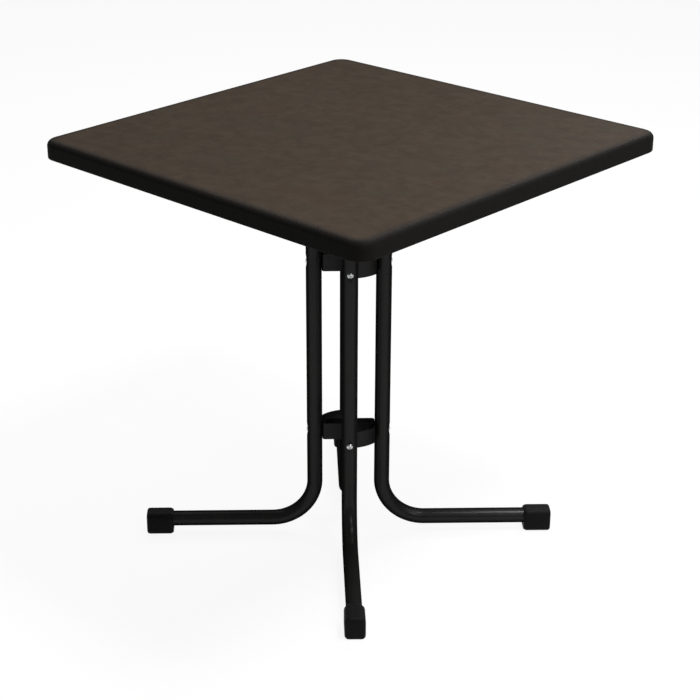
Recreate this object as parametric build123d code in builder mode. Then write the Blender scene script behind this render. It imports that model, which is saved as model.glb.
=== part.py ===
from build123d import *
import os
from math import cos, radians, sin, sqrt

# Folding patio table, 700 mm square and 720 mm high, with a top that tilts to upright.
# Frame: origin on the floor under the middle of the top, +Z up, X and Y along the top's sides.
# The four bent tube legs stand on the top's diagonals. Lengths are in millimetres.

# Table top
table_height = 720.0
top_side = 700.0
top_corner_radius = 28.5
rim_depth = 30.0
rim_width = 24.0
rim_top_round = 9.5
rim_bottom_round = 2.0
panel_thickness = 18.0
pocket_corner_radius = 12.0
pocket_draft_deg = 20.0

# Legs
leg_circle_radius = 58.0
tube_diameter = 26.5
tube_wall = 1.5
leg_axis_height = 24.5
leg_bend_radius = 75.0
leg_past_rod = 18.0
leg_reach = 354.0
first_leg_deg = -45.0
quarter_turn_deg = 90.0
leg_names = ("leg_front", "leg_right", "leg_back", "leg_left")

# Foot caps and tube plugs
foot_length = 46.5
foot_width = 34.0
foot_height = 40.5
foot_end_wall = 6.0
foot_top_round = 10.0
foot_low_round = 7.0
foot_edge_round = 5.0
foot_shoulder_length = 4.5
foot_shoulder_deg = 23.0
foot_bore_gap = 0.05
plug_flange = 3.0
plug_round = 1.5
plug_stem = 9.0
plug_fit_gap = 0.1

# Dimples pressed into the tubes round the strap screws
dimple_depth = 1.9
dimple_sphere_radius = 38.0
head_seat_cut = 0.35
head_seat_gap = 0.35

# Straps that tie the four tubes together at two levels
lower_strap_height = 197.5
upper_strap_below_rod = 165.0
strap_width = 30.0
strap_thickness = 3.0
strap_seat_gap = 0.05
strap_curve_radius = 60.0
strap_corner_radius = 8.0
strap_cross_offset = 9.0
strap_bend_inside = 2.0
strap_end_overhang = 9.0
strap_tab_gap = 0.05
strap_tab_end = 4.6

# Strap screws and nuts, M6
screw_diameter = 6.0
screw_hole_gap = 0.2
nut_bore_gap = 0.05
button_head_diameter = 10.5
button_head_height = 3.3
button_head_land = 0.8
socket_flats = 4.0
socket_depth = 2.1
nut_flats = 10.0
nut_height = 5.2
nut_seat_gap = 0.05
thread_past_nut = 2.0

# Cross rods at the tube tops: the pivot rod in the left and back legs, the catch rod in the others
rod_below_panel = 30.0
rod_diameter = 8.0
rod_gap = 0.05
rod_past_nut = 1.5
rod_nut_flats = 13.0
rod_nut_height = 6.5
rod_flange_diameter = 17.0
rod_flange_thickness = 1.5
rod_nut_clearance = 0.1
washer_diameter = 16.0
washer_thickness = 1.0
washer_gap = 0.1
bush_wall = 3.0

# Rails screwed under the panel
rail_thickness = 2.5
rail_flange_width = 22.0
rail_half_length = 170.0
rail_deep_half_length = 64.0
rail_slope_half_length = 106.0
rail_deep_drop = 14.0
rail_end_depth = 12.0
notch_gap = 0.1
notch_flare = 2.5
rail_screw_places = (-150.0, -88.0, 88.0, 150.0)

# Wood screws
wood_screw_diameter = 4.0
wood_screw_length = 13.0
wood_head_diameter = 8.0
wood_head_height = 2.4
wood_head_round = 1.0
pilot_gap = 0.05

# Latch under the middle of the catch rod
latch_pin_drop = 12.0
latch_pin_offset = 1.0
latch_pin_diameter = 6.0
latch_pin_head_diameter = 9.0
latch_pin_head_height = 1.5
latch_pin_head_gap = 0.05
lever_thickness = 6.0
lever_eye_radius = 7.5
hook_gap = 0.4
hook_toe = 5.0
hook_section = 6.0
hook_round = 2.0
handle_angle_deg = -42.0
handle_length = 78.0
handle_section = 9.0
grip_length = 34.0
grip_wall = 2.0
grip_gap = 0.05
housing_base_half_length = 17.0
housing_base_half_width = 24.0
housing_gap = 0.5
housing_eye_radius = 8.0
housing_screw_offset = 18.0
spring_coil_length = 5.0
spring_wall = 1.2
spring_pin_gap = 0.6

# Rubber buffers that stop the top against the left and back legs when it is upright
buffer_side = 20.0
buffer_from_pivot = 50.0
buffer_gap = 0.3
buffer_round = 2.0
buffer_draft_deg = 4.0

# One overrun serves every cut that passes right through
overrun = 5.0

# Values that follow from the sizes above
tube_radius = tube_diameter / 2
bore_radius = tube_radius - tube_wall
diagonal_share = cos(radians(45))
leg_offset = leg_circle_radius * diagonal_share
panel_underside = table_height - panel_thickness
rod_height = panel_underside - rod_below_panel
leg_top_height = rod_height + leg_past_rod
leg_angles = {name: first_leg_deg + place * quarter_turn_deg for place, name in enumerate(leg_names)}
strap_outer_face = leg_circle_radius - tube_radius - strap_seat_gap
strap_middle = strap_outer_face - strap_thickness / 2
strap_inner_face = strap_outer_face - strap_thickness
strap_levels = {"lower": lower_strap_height, "upper": rod_height - upper_strap_below_rod}
head_seat_radius = leg_circle_radius + tube_radius - dimple_depth - head_seat_cut
head_seat_hole_radius = button_head_diameter / 2 + head_seat_gap
rod_radius = rod_diameter / 2
washer_seat = leg_offset + tube_radius + washer_gap / 2
rail_inner_face = washer_seat + washer_thickness + washer_gap / 2
rail_outer_face = rail_inner_face + rail_thickness
rail_side = {"rail_front": -1, "rail_back": 1}
bush_radius = rod_radius + bush_wall
os.makedirs("parts", exist_ok=True)


def leg_plane(angle):
    """Upright plane through a leg: its x runs outwards from the table's middle, its y runs up."""
    outwards = Vector(cos(radians(angle)), sin(radians(angle)), 0)
    return Plane(origin=(0, 0, 0), x_dir=outwards, z_dir=outwards.cross(Vector(0, 0, 1)))


def radial_plane(angle, distance, height):
    """Plane square to a leg's outward direction, at a distance from the table's middle."""
    outwards = Vector(cos(radians(angle)), sin(radians(angle)), 0)
    return Plane(origin=outwards * distance + Vector(0, 0, height), x_dir=(0, 0, 1), z_dir=outwards)


def side_plane(offset):
    """Upright plane facing +Y at a distance from the table's middle: its x runs along +X, its y up."""
    return Plane(origin=(0, offset, 0), x_dir=(1, 0, 0), z_dir=(0, -1, 0))


# Table top: a moulded panel with a deeper rounded rim
with BuildPart() as table_top:
    with BuildSketch(Plane.XY.offset(table_height - rim_depth)):
        RectangleRounded(top_side, top_side, top_corner_radius)
    extrude(amount=rim_depth)
    fillet(table_top.faces().sort_by(Axis.Z)[-1].edges(), radius=rim_top_round)
    fillet(table_top.faces().sort_by(Axis.Z)[0].edges(), radius=rim_bottom_round)
    pocket_side = top_side - 2 * rim_width
    with BuildSketch(Plane.XY.offset(table_height - rim_depth)):
        RectangleRounded(pocket_side, pocket_side, pocket_corner_radius)
    extrude(amount=rim_depth - panel_thickness, taper=pocket_draft_deg, mode=Mode.SUBTRACT)
    rail_screw_line = rail_outer_face + rail_flange_width / 2
    with Locations(*[(x, side * rail_screw_line, panel_underside)
                     for x in rail_screw_places for side in (-1, 1)]):
        Cylinder(radius=wood_screw_diameter / 2 + pilot_gap, height=wood_screw_length,
                 align=(Align.CENTER, Align.CENTER, Align.MIN), mode=Mode.SUBTRACT)
    with Locations(*[(leg_offset - latch_pin_offset, side * housing_screw_offset, panel_underside)
                     for side in (-1, 1)]):
        Cylinder(radius=wood_screw_diameter / 2 + pilot_gap, height=wood_screw_length,
                 align=(Align.CENTER, Align.CENTER, Align.MIN), mode=Mode.SUBTRACT)
table_top.part.label = "table_top"
export_step(table_top.part, "parts/table_top.step")


# Legs: one bent tube each, dimpled round its two strap screws, drilled at the top for a cross rod
for leg_name, leg_angle in leg_angles.items():
    foot_tube_end = leg_reach - foot_end_wall
    with BuildLine(leg_plane(leg_angle)) as leg_path:
        FilletPolyline((leg_circle_radius, leg_top_height), (leg_circle_radius, leg_axis_height),
                       (foot_tube_end, leg_axis_height), radius=leg_bend_radius)
    leg_top = Plane(origin=leg_path.line @ 0, z_dir=leg_path.line % 0)
    dimples = [radial_plane(leg_angle, head_seat_radius + head_seat_cut + dimple_sphere_radius, level)
               for level in strap_levels.values()]
    with BuildPart() as leg_core:
        with BuildSketch(leg_top):
            Circle(bore_radius)
        sweep(path=leg_path.line)
        with Locations(*[Location(dimple.origin) for dimple in dimples]):
            Sphere(dimple_sphere_radius + tube_wall, mode=Mode.SUBTRACT)
    with BuildPart() as leg:
        with BuildSketch(leg_top):
            Circle(tube_radius)
        sweep(path=leg_path.line)
        with Locations(*[Location(dimple.origin) for dimple in dimples]):
            Sphere(dimple_sphere_radius, mode=Mode.SUBTRACT)
        add(leg_core.part, mode=Mode.SUBTRACT)
        for level in strap_levels.values():
            with BuildSketch(radial_plane(leg_angle, head_seat_radius, level)):
                Circle(head_seat_hole_radius)
            extrude(amount=dimple_depth + overrun, mode=Mode.SUBTRACT)
            with BuildSketch(radial_plane(leg_angle, 0, level)):
                Circle(screw_diameter / 2 + screw_hole_gap)
            extrude(amount=head_seat_radius + overrun, mode=Mode.SUBTRACT)
        rod_side = 1 if cos(radians(leg_angle)) > 0 else -1
        with BuildSketch(side_plane(0)):
            with Locations((rod_side * leg_offset, rod_height)):
                Circle(rod_radius + rod_gap)
        extrude(amount=leg_offset + tube_diameter, both=True, mode=Mode.SUBTRACT)
    leg.part.label = leg_name
    export_step(leg.part, f"parts/{leg_name}.step")


# Foot caps: a moulded block on each leg's end, with a sloping shoulder round the tube
for leg_name, leg_angle in leg_angles.items():
    foot_name = leg_name.replace("leg", "foot")
    shoulder = radial_plane(leg_angle, leg_reach - foot_length + foot_shoulder_length, foot_height / 2)
    with BuildPart() as foot:
        with BuildSketch(shoulder) as foot_outline:
            Rectangle(foot_height, foot_width)
            fillet(foot_outline.vertices().group_by(Axis.X)[-1], radius=foot_top_round)
            fillet(foot_outline.vertices().group_by(Axis.X)[0], radius=foot_low_round)
        extrude(amount=foot_length - foot_shoulder_length)
        fillet(foot.faces().sort_by(Axis((0, 0, 0), shoulder.z_dir))[-1].edges(), radius=foot_edge_round)
        extrude(to_extrude=foot_outline.sketch, amount=-foot_shoulder_length, taper=foot_shoulder_deg)
        with BuildSketch(radial_plane(leg_angle, 0, leg_axis_height)):
            Circle(tube_radius + foot_bore_gap)
        extrude(amount=leg_reach - foot_end_wall, mode=Mode.SUBTRACT)
    foot.part.label = foot_name
    export_step(foot.part, f"parts/{foot_name}.step")


# Plugs that close the tube tops
for leg_name, leg_angle in leg_angles.items():
    plug_name = leg_name.replace("leg", "plug")
    leg_axis = Plane(origin=Vector(cos(radians(leg_angle)), sin(radians(leg_angle)), 0)
                     * leg_circle_radius + Vector(0, 0, leg_top_height))
    with BuildPart() as plug:
        with BuildSketch(leg_axis):
            Circle(tube_radius)
        extrude(amount=plug_flange)
        fillet(plug.edges().sort_by(Axis.Z)[-1], radius=plug_round)
        with BuildSketch(leg_axis):
            Circle(bore_radius - plug_fit_gap)
        extrude(amount=-plug_stem)
    plug.part.label = plug_name
    export_step(plug.part, f"parts/{plug_name}.step")


# Straps: at each level two alike, half a turn apart. Each curves from one leg to a flat on the next,
# turns across to the far leg and ends in a tab under that leg's screw.
strap_curve_middle = strap_curve_radius - strap_thickness / 2
strap_curve_centre = strap_curve_radius - strap_outer_face
strap_curve_start = (-strap_end_overhang,
                     strap_curve_centre - sqrt(strap_curve_middle ** 2 - strap_end_overhang ** 2))
corner_centre_along = strap_middle - strap_corner_radius
corner_centre_from_curve = sqrt((strap_curve_middle - strap_corner_radius) ** 2 - corner_centre_along ** 2)
corner_start_share = strap_curve_middle / (strap_curve_middle - strap_corner_radius)
corner_start = (corner_centre_along * corner_start_share,
                strap_curve_centre - corner_centre_from_curve * corner_start_share)
corner_end = (strap_middle, strap_curve_centre - corner_centre_from_curve)
strap_bend_middle = strap_bend_inside + strap_thickness / 2
strap_bend_level = strap_cross_offset - strap_bend_middle
tab_face = strap_inner_face - strap_tab_gap
tab_middle = tab_face - strap_thickness / 2
tab_inner_face = tab_face - strap_thickness
for level_name, level in strap_levels.items():
    for strap_name, turn in ((f"{level_name}_strap_front", 0), (f"{level_name}_strap_back", 180)):
        strap_plane = Plane(origin=(0, 0, level - strap_width / 2),
                            x_dir=(cos(radians(45 + turn)), sin(radians(45 + turn)), 0), z_dir=(0, 0, 1))
        with BuildPart() as strap:
            with BuildSketch(strap_plane):
                with BuildLine():
                    RadiusArc(strap_curve_start, corner_start, -strap_curve_middle)
                    RadiusArc(corner_start, corner_end, -strap_corner_radius)
                    Line(corner_end, (strap_middle, strap_bend_level))
                    RadiusArc((strap_middle, strap_bend_level),
                              (strap_middle - strap_bend_middle, strap_cross_offset), -strap_bend_middle)
                    Line((strap_middle - strap_bend_middle, strap_cross_offset),
                         (strap_bend_middle - tab_middle, strap_cross_offset))
                    RadiusArc((strap_bend_middle - tab_middle, strap_cross_offset),
                              (-tab_middle, strap_bend_level), -strap_bend_middle)
                    Line((-tab_middle, strap_bend_level), (-tab_middle, -strap_tab_end))
                trace(line_width=strap_thickness)
            extrude(amount=strap_width)
            front_angle = leg_angles["leg_front"] + turn
            with BuildSketch(radial_plane(front_angle, strap_cross_offset + strap_thickness, level)):
                Circle(screw_diameter / 2 + screw_hole_gap)
            extrude(amount=strap_middle, mode=Mode.SUBTRACT)
            with BuildSketch(radial_plane(leg_angles["leg_right"] + turn, 0, level)):
                Circle(screw_diameter / 2 + screw_hole_gap)
            extrude(amount=strap_outer_face + overrun, both=True, mode=Mode.SUBTRACT)
        strap.part.label = strap_name
        export_step(strap.part, f"parts/{strap_name}.step")


def strap_screw(angle, level, tip_radius):
    """Button head screw from its seat in the dimple to a tip inside the strap."""
    crown_radius = head_seat_radius + button_head_height
    with BuildPart() as screw:
        with BuildSketch(leg_plane(angle)):
            with BuildLine():
                head_edge = (head_seat_radius + button_head_land, level + button_head_diameter / 2)
                Polyline((crown_radius, level), (tip_radius, level),
                         (tip_radius, level + screw_diameter / 2),
                         (head_seat_radius, level + screw_diameter / 2),
                         (head_seat_radius, level + button_head_diameter / 2), head_edge)
                TangentArc((crown_radius, level), head_edge, tangent=(0, 1))
            make_face()
        revolve(axis=Axis((0, 0, level), leg_plane(angle).x_dir))
        with BuildSketch(radial_plane(angle, crown_radius, level)):
            RegularPolygon(socket_flats / 2, 6, major_radius=False)
        extrude(amount=-socket_depth, mode=Mode.SUBTRACT)
    return screw.part


def strap_nut(angle, level, face_radius):
    """Hexagon nut with its outer face at a distance from the table's middle."""
    with BuildPart() as nut:
        with BuildSketch(radial_plane(angle, face_radius, level)):
            RegularPolygon(nut_flats / 2, 6, major_radius=False)
            Circle(screw_diameter / 2 + nut_bore_gap, mode=Mode.SUBTRACT)
        extrude(amount=-nut_height)
    return nut.part


# Strap screws and nuts: a nut sits on the curved strap at the front and back legs, and on the
# other strap's flat tab at the left and right legs
strap_curve_inside = strap_curve_radius - strap_thickness
curved_nut_face = (sqrt(strap_curve_inside ** 2 - (nut_flats / 2) ** 2) - strap_curve_centre
                   - nut_seat_gap)
flat_nut_face = tab_inner_face - nut_seat_gap
nut_faces = {"leg_front": curved_nut_face, "leg_back": curved_nut_face,
             "leg_right": flat_nut_face, "leg_left": flat_nut_face}
for level_name, level in strap_levels.items():
    with BuildPart() as strap_screws:
        for leg_name, leg_angle in leg_angles.items():
            add(strap_screw(leg_angle, level, nut_faces[leg_name] - nut_height - thread_past_nut))
    strap_screws.part.label = f"{level_name}_strap_screws"
    export_step(strap_screws.part, f"parts/{level_name}_strap_screws.step")
    with BuildPart() as strap_nuts:
        for leg_name, leg_angle in leg_angles.items():
            add(strap_nut(leg_angle, level, nut_faces[leg_name]))
    strap_nuts.part.label = f"{level_name}_strap_nuts"
    export_step(strap_nuts.part, f"parts/{level_name}_strap_nuts.step")


# Cross rods, each with a flange nut at both ends, clear of the rails
rod_nut_face = rail_outer_face + rod_nut_clearance
rod_half_length = rod_nut_face + rod_nut_height + rod_past_nut
for rod_name, rod_side in (("pivot_rod", -1), ("catch_rod", 1)):
    with BuildPart() as rod:
        with BuildSketch(side_plane(0)):
            with Locations((rod_side * leg_offset, rod_height)):
                Circle(rod_radius)
        extrude(amount=rod_half_length, both=True)
    rod.part.label = rod_name
    export_step(rod.part, f"parts/{rod_name}.step")

for nuts_name, rod_side in (("pivot_nuts", -1), ("catch_nuts", 1)):
    with BuildPart() as rod_nuts:
        for side in (-1, 1):
            with BuildSketch(side_plane(side * rod_nut_face)):
                with Locations((rod_side * leg_offset, rod_height)):
                    Circle(rod_flange_diameter / 2)
                    Circle(rod_radius + rod_gap, mode=Mode.SUBTRACT)
            extrude(amount=-side * rod_flange_thickness)
            with BuildSketch(side_plane(side * rod_nut_face)):
                with Locations((rod_side * leg_offset, rod_height)):
                    RegularPolygon(rod_nut_flats / 2, 6, major_radius=False)
                    Circle(rod_radius + rod_gap, mode=Mode.SUBTRACT)
            extrude(amount=-side * rod_nut_height)
    rod_nuts.part.label = nuts_name
    export_step(rod_nuts.part, f"parts/{nuts_name}.step")

# Nylon washers between the pivot legs and the rails
with BuildPart() as pivot_washers:
    for side in (-1, 1):
        with BuildSketch(side_plane(side * washer_seat)):
            with Locations((-leg_offset, rod_height)):
                Circle(washer_diameter / 2)
                Circle(rod_radius + rod_gap, mode=Mode.SUBTRACT)
        extrude(amount=-side * washer_thickness)
pivot_washers.part.label = "pivot_washers"
export_step(pivot_washers.part, "parts/pivot_washers.step")

# Nylon bushes on the catch rod, which the rails' notches rest on
with BuildPart() as catch_bushes:
    for side in (-1, 1):
        with BuildSketch(side_plane(side * washer_seat)):
            with Locations((leg_offset, rod_height)):
                Circle(bush_radius)
                Circle(rod_radius + rod_gap, mode=Mode.SUBTRACT)
        extrude(amount=-side * (rod_nut_face - washer_seat))
catch_bushes.part.label = "catch_bushes"
export_step(catch_bushes.part, "parts/catch_bushes.step")


# Rails: angle pieces whose webs stand beside the legs, with a pivot hole and a catch notch
rail_deep_height = rod_height - rail_deep_drop
rail_end_height = panel_underside - rail_end_depth
notch_radius = bush_radius + notch_gap
for rail_name, side in rail_side.items():
    with BuildPart() as rail:
        with BuildSketch(side_plane(side * rail_inner_face)):
            with BuildLine():
                Polyline((-rail_half_length, panel_underside), (rail_half_length, panel_underside),
                         (rail_half_length, rail_end_height), (rail_slope_half_length, rail_end_height),
                         (rail_deep_half_length, rail_deep_height),
                         (-rail_deep_half_length, rail_deep_height),
                         (-rail_slope_half_length, rail_end_height),
                         (-rail_half_length, rail_end_height), close=True)
            make_face()
            with Locations((-leg_offset, rod_height)):
                Circle(rod_radius + rod_gap, mode=Mode.SUBTRACT)
            with Locations((leg_offset, rod_height)):
                Circle(notch_radius, mode=Mode.SUBTRACT)
            with BuildLine():
                Polyline((leg_offset - notch_radius, rod_height), (leg_offset + notch_radius, rod_height),
                         (leg_offset + notch_radius + notch_flare, rail_deep_height - overrun),
                         (leg_offset - notch_radius - notch_flare, rail_deep_height - overrun), close=True)
            make_face(mode=Mode.SUBTRACT)
        extrude(amount=-side * rail_thickness)
        with BuildSketch(Plane.XY.offset(panel_underside)):
            with Locations((0, side * (rail_outer_face + rail_flange_width / 2))):
                Rectangle(2 * rail_half_length, rail_flange_width)
            with Locations(*[(x, side * rail_screw_line) for x in rail_screw_places]):
                Circle(wood_screw_diameter / 2 + pilot_gap, mode=Mode.SUBTRACT)
        extrude(amount=-rail_thickness)
    rail.part.label = rail_name
    export_step(rail.part, f"parts/{rail_name}.step")


def wood_screw(seat_height):
    """Pan head wood screw, head down, at the origin's X and Y with its head against a height."""
    with BuildPart() as screw:
        with BuildSketch(Plane.XY.offset(seat_height - wood_head_height)):
            Circle(wood_head_diameter / 2)
        extrude(amount=wood_head_height)
        fillet(screw.edges().sort_by(Axis.Z)[0], radius=wood_head_round)
        with BuildSketch(Plane.XY.offset(seat_height)):
            Circle(wood_screw_diameter / 2)
        extrude(amount=panel_underside - seat_height + wood_screw_length - wood_head_round)
    return screw.part


flange_underside = panel_underside - rail_thickness
with BuildPart() as rail_screws:
    with Locations(*[(x, side * rail_screw_line) for x in rail_screw_places for side in (-1, 1)]):
        add(wood_screw(flange_underside))
rail_screws.part.label = "rail_screws"
export_step(rail_screws.part, "parts/rail_screws.step")


# Latch housing: a base under the panel with two cheeks that hold the lever's pin
latch_pin_x = leg_offset - latch_pin_offset
latch_pin_z = panel_underside - latch_pin_drop
cheek_inner_front = -lever_thickness / 2 - housing_gap
cheek_inner_back = lever_thickness / 2 + spring_coil_length + 2 * housing_gap
with BuildPart() as latch_housing:
    with BuildSketch(Plane.XY.offset(panel_underside)):
        with Locations((latch_pin_x, 0)):
            Rectangle(2 * housing_base_half_length, 2 * housing_base_half_width)
        with Locations(*[(latch_pin_x, side * housing_screw_offset) for side in (-1, 1)]):
            Circle(wood_screw_diameter / 2 + pilot_gap, mode=Mode.SUBTRACT)
    extrude(amount=-rail_thickness)
    fillet(latch_housing.edges().filter_by(Axis.Z).sort_by(Axis.X)[:2], radius=rail_thickness)
    fillet(latch_housing.edges().filter_by(Axis.Z).sort_by(Axis.X)[-2:], radius=rail_thickness)
    for cheek_face, direction in ((cheek_inner_front, 1), (cheek_inner_back, -1)):
        with BuildSketch(side_plane(cheek_face)):
            with Locations((latch_pin_x, latch_pin_z)):
                Circle(housing_eye_radius)
            with Locations((latch_pin_x, (latch_pin_z + panel_underside) / 2)):
                Rectangle(2 * housing_eye_radius, latch_pin_drop)
            with Locations((latch_pin_x, latch_pin_z)):
                Circle(latch_pin_diameter / 2 + rod_gap, mode=Mode.SUBTRACT)
        extrude(amount=direction * rail_thickness)
latch_housing.part.label = "latch_housing"
export_step(latch_housing.part, "parts/latch_housing.step")

with BuildPart() as housing_screws:
    with Locations(*[(latch_pin_x, side * housing_screw_offset) for side in (-1, 1)]):
        add(wood_screw(flange_underside))
housing_screws.part.label = "housing_screws"
export_step(housing_screws.part, "parts/housing_screws.step")

# Latch pin: through both cheeks, the lever and the spring, with a head at each end
pin_front = cheek_inner_front - rail_thickness - latch_pin_head_gap
pin_back = cheek_inner_back + rail_thickness + latch_pin_head_gap
with BuildPart() as latch_pin:
    with BuildSketch(side_plane(pin_back)):
        with Locations((latch_pin_x, latch_pin_z)):
            Circle(latch_pin_diameter / 2)
    extrude(amount=pin_back - pin_front)
    for head_face, direction in ((pin_back, -1), (pin_front, 1)):
        with BuildSketch(side_plane(head_face)):
            with Locations((latch_pin_x, latch_pin_z)):
                Circle(latch_pin_head_diameter / 2)
        extrude(amount=direction * latch_pin_head_height)
latch_pin.part.label = "latch_pin"
export_step(latch_pin.part, "parts/latch_pin.step")

# Latch lever: an eye on the pin, a hook under the catch rod and a handle down and outwards
hook_inner_x = leg_offset + rod_radius + hook_gap
hook_outer_x = hook_inner_x + hook_section
hook_floor_z = rod_height - rod_radius - hook_gap
hook_bottom_z = hook_floor_z - hook_section
handle_start = Vector(hook_inner_x + hook_section / 2, rod_height)
handle_direction = Vector(cos(radians(handle_angle_deg)), sin(radians(handle_angle_deg)))
handle_end = handle_start + handle_direction * handle_length
with BuildPart() as latch_lever:
    with BuildSketch(side_plane(0)) as lever_sketch:
        with BuildLine():
            Polyline((latch_pin_x, latch_pin_z + lever_eye_radius),
                     (hook_outer_x, latch_pin_z), (hook_outer_x, hook_bottom_z),
                     (leg_offset - hook_toe, hook_bottom_z), (leg_offset - hook_toe, hook_floor_z),
                     (hook_inner_x, hook_floor_z), (hook_inner_x, rod_height + rod_radius),
                     (latch_pin_x, latch_pin_z - lever_eye_radius), close=True)
        make_face()
        fillet(lever_sketch.vertices().group_by(Axis.Y)[0], radius=hook_round)
        with Locations((latch_pin_x, latch_pin_z)):
            Circle(lever_eye_radius)
        with Locations(Location((handle_start.X, handle_start.Y, 0), (0, 0, handle_angle_deg))):
            Rectangle(handle_length, handle_section, align=(Align.MIN, Align.CENTER))
        with Locations((latch_pin_x, latch_pin_z)):
            Circle(latch_pin_diameter / 2 + rod_gap, mode=Mode.SUBTRACT)
    extrude(amount=lever_thickness / 2, both=True)
latch_lever.part.label = "latch_lever"
export_step(latch_lever.part, "parts/latch_lever.step")

# Lever grip: a moulded sleeve over the handle's end
grip_start = handle_end - handle_direction * (grip_length - grip_wall)
with BuildPart() as lever_grip:
    for width, depth, length, mode in (
            (handle_section + 2 * grip_wall, lever_thickness + 2 * grip_wall, grip_length, Mode.ADD),
            (handle_section + 2 * grip_gap, lever_thickness + 2 * grip_gap,
             grip_length - grip_wall + grip_gap, Mode.SUBTRACT)):
        with BuildSketch(side_plane(0)):
            with Locations(Location((grip_start.X, grip_start.Y, 0), (0, 0, handle_angle_deg))):
                Rectangle(length, width, align=(Align.MIN, Align.CENTER))
        extrude(amount=depth / 2, both=True, mode=mode)
        if mode == Mode.ADD:
            fillet(lever_grip.faces().sort_by(Axis.Z)[0].edges(), radius=grip_wall / 2)
lever_grip.part.label = "lever_grip"
export_step(lever_grip.part, "parts/lever_grip.step")

# Latch spring: the coil that turns the lever back, as a plain sleeve round the pin
with BuildPart() as latch_spring:
    with BuildSketch(side_plane(cheek_inner_back - housing_gap)):
        with Locations((latch_pin_x, latch_pin_z)):
            Circle(latch_pin_diameter / 2 + spring_pin_gap + spring_wall)
            Circle(latch_pin_diameter / 2 + spring_pin_gap, mode=Mode.SUBTRACT)
    extrude(amount=spring_coil_length)
latch_spring.part.label = "latch_spring"
export_step(latch_spring.part, "parts/latch_spring.step")

# Buffers: rubber blocks under the panel, one for each pivot leg
buffer_height = panel_underside - rod_height - tube_radius - buffer_gap
with BuildPart() as tilt_buffers:
    with BuildSketch(Plane.XY.offset(panel_underside)):
        with Locations(*[(-leg_offset - buffer_from_pivot, side * leg_offset) for side in (-1, 1)]):
            RectangleRounded(buffer_side, buffer_side, buffer_round)
    extrude(amount=-buffer_height, taper=buffer_draft_deg)
tilt_buffers.part.label = "tilt_buffers"
export_step(tilt_buffers.part, "parts/tilt_buffers.step")
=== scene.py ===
"""Folding patio table: finishes, finely modelled pieces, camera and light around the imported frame."""

from __future__ import annotations

import logging
from collections.abc import Callable, Iterator, Sequence
from contextlib import contextmanager
from dataclasses import dataclass
from enum import Enum
from math import cos, hypot, pi, radians, sin, sqrt, tan
from typing import Any

import bmesh
import bpy
from mathutils import Matrix, Vector

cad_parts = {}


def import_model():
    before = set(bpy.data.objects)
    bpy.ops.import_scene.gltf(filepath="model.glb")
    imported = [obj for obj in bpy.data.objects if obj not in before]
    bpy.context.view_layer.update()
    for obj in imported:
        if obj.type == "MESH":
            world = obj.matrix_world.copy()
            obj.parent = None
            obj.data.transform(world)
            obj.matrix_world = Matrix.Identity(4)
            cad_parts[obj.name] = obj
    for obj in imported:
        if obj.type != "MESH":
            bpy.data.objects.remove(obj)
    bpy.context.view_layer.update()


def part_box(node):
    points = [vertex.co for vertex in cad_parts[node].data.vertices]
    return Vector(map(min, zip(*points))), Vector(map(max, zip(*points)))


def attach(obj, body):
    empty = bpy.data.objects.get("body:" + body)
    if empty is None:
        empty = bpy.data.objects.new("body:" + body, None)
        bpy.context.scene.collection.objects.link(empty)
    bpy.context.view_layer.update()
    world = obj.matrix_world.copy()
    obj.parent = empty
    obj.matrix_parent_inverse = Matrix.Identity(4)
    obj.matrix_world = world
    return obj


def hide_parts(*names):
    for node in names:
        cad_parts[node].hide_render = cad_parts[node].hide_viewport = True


Object = bpy.types.Object
Node = bpy.types.Node
Tree = bpy.types.NodeTree
Socket = bpy.types.NodeSocket
Span = tuple[float, float]
Profile = Sequence[Span]
Box = tuple[Vector, Vector]
Test = Callable[[Vector, Vector], bool]

MM = 0.001
ALONG = 0.9  # a direction with more than this share along an axis runs along it
FLAT_DEG = 0.5  # faces that turn by less than this are one flat face
WELD_TURNED, WELD_CAD, WELD_TUBE = 0.001 * MM, 0.002 * MM, 0.01 * MM  # gaps that are closed
MIDDLE_BAND = (0.3, 0.7)  # where most values of a noise lie
SMOOTH_STEP = {"interpolation_type": "SMOOTHSTEP"}
LEG_ANGLES = {"front": -45.0, "right": 45.0, "back": 135.0, "left": 225.0}
LEVELS = ("lower", "upper")
SIDES = ("front", "back")
LOG = logging.getLogger("patio_table")


class Body(str, Enum):
    """The bodies that the joints move."""

    BASE = "base"
    TOP = "table_top"
    LATCH = "latch"


class Slot(str, Enum):
    """The record's material slots."""

    LAMINATE = "top_laminate"
    TUBE = "black_tube"
    STEEL = "black_steel"
    PLASTIC = "black_plastic"
    ZINC = "zinc"
    SPRING = "spring_steel"
    NYLON = "nylon"
    RUBBER = "rubber"


class Pick(Enum):
    """What edit mode selects."""

    VERTS = "VERT"
    EDGES = "EDGE"
    FACES = "FACE"


def linear(hex_colour: str) -> tuple[float, float, float, float]:
    """Turn an sRGB hex colour into Blender's linear colour.

    Args:
        hex_colour: Six hex digits, such as "4E463E".

    Returns:
        Linear red, green and blue with an alpha of 1.
    """
    shares = [int(hex_colour[i : i + 2], 16) / 255 for i in (0, 2, 4)]
    red, green, blue = (s / 12.92 if s <= 0.04045 else ((s + 0.055) / 1.055) ** 2.4 for s in shares)
    return red, green, blue, 1.0


def add_node(
    tree: Tree, kind: str, inputs: dict[str | int, Any] | Sequence[Any] = (), **settings: Any
) -> Node:
    """Add one shader node.

    Args:
        tree: The material's node tree.
        kind: The node's type, such as "ShaderNodeTexNoise".
        inputs: Values or sockets for the node's inputs, by name or place, or in order.
        settings: The node's own settings.

    Returns:
        The new node.
    """
    node = tree.nodes.new(kind)
    for name, value in settings.items():
        setattr(node, name, value)
    for place, value in inputs.items() if isinstance(inputs, dict) else enumerate(inputs):
        if isinstance(value, Socket):
            tree.links.new(value, node.inputs[place])
        else:
            node.inputs[place].default_value = value
    return node


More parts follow.
